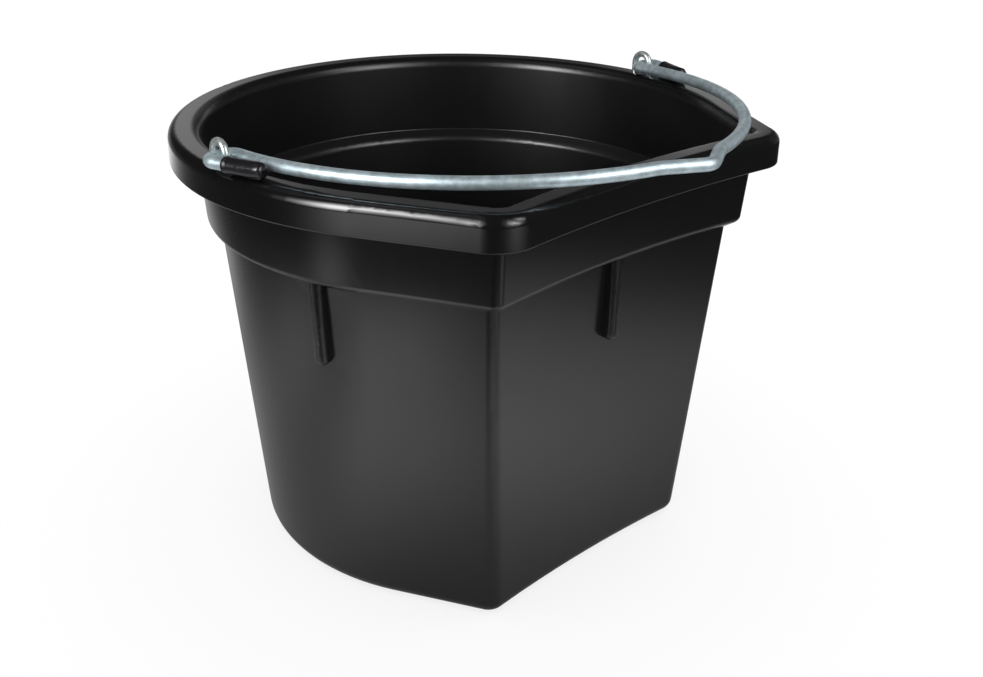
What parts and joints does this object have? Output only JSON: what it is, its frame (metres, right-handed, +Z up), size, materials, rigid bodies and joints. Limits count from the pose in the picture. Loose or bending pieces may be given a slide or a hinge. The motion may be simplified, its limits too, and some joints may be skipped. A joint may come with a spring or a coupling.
{
  "type": "flat-back bucket",
  "caption": "Black moulded feed bucket with a round front, flat back and rolled rim, and a wire bail that hooks into rod eyes, swings over the mouth and has a notch to hang it by.",
  "frame": {"origin": "on the underside of the base, at the axis of the round front", "axes": "+Z up, +Y towards the flat back, X along the bail's pivot line, with the left eye at +X"},
  "size_m": [0.381, 0.3877, 0.2998],
  "materials": {
    "moulded_shell": "satin black polyethylene with a faint moulded texture",
    "plated_rod": "bright zinc plate",
    "plated_fasteners": "bright zinc plate",
    "galvanised_wire": "smooth galvanised wire with a slight blue-grey cast",
    "hook_caps": "dipped black vinyl, half gloss"
  },
  "bodies": {
    "bucket": {"bucket_shell": "moulded_shell", "left_eye": "plated_rod", "right_eye": "plated_rod", "left_front_washer": "plated_fasteners", "left_rear_washer": "plated_fasteners", "right_front_washer": "plated_fasteners", "right_rear_washer": "plated_fasteners", "left_front_nut": "plated_fasteners", "left_rear_nut": "plated_fasteners", "right_front_nut": "plated_fasteners", "right_rear_nut": "plated_fasteners"},
    "bail": {"bail": "galvanised_wire", "left_hook_cap": "hook_caps", "right_hook_cap": "hook_caps"}
  },
  "joints": [
    {"name": "bail_swing", "type": "hinge", "parent": "bucket", "child": "bail", "pos_m": [0, 0, 0.2893], "axis": [1, 0, 0], "range_deg": [0, 178]}
  ]
}
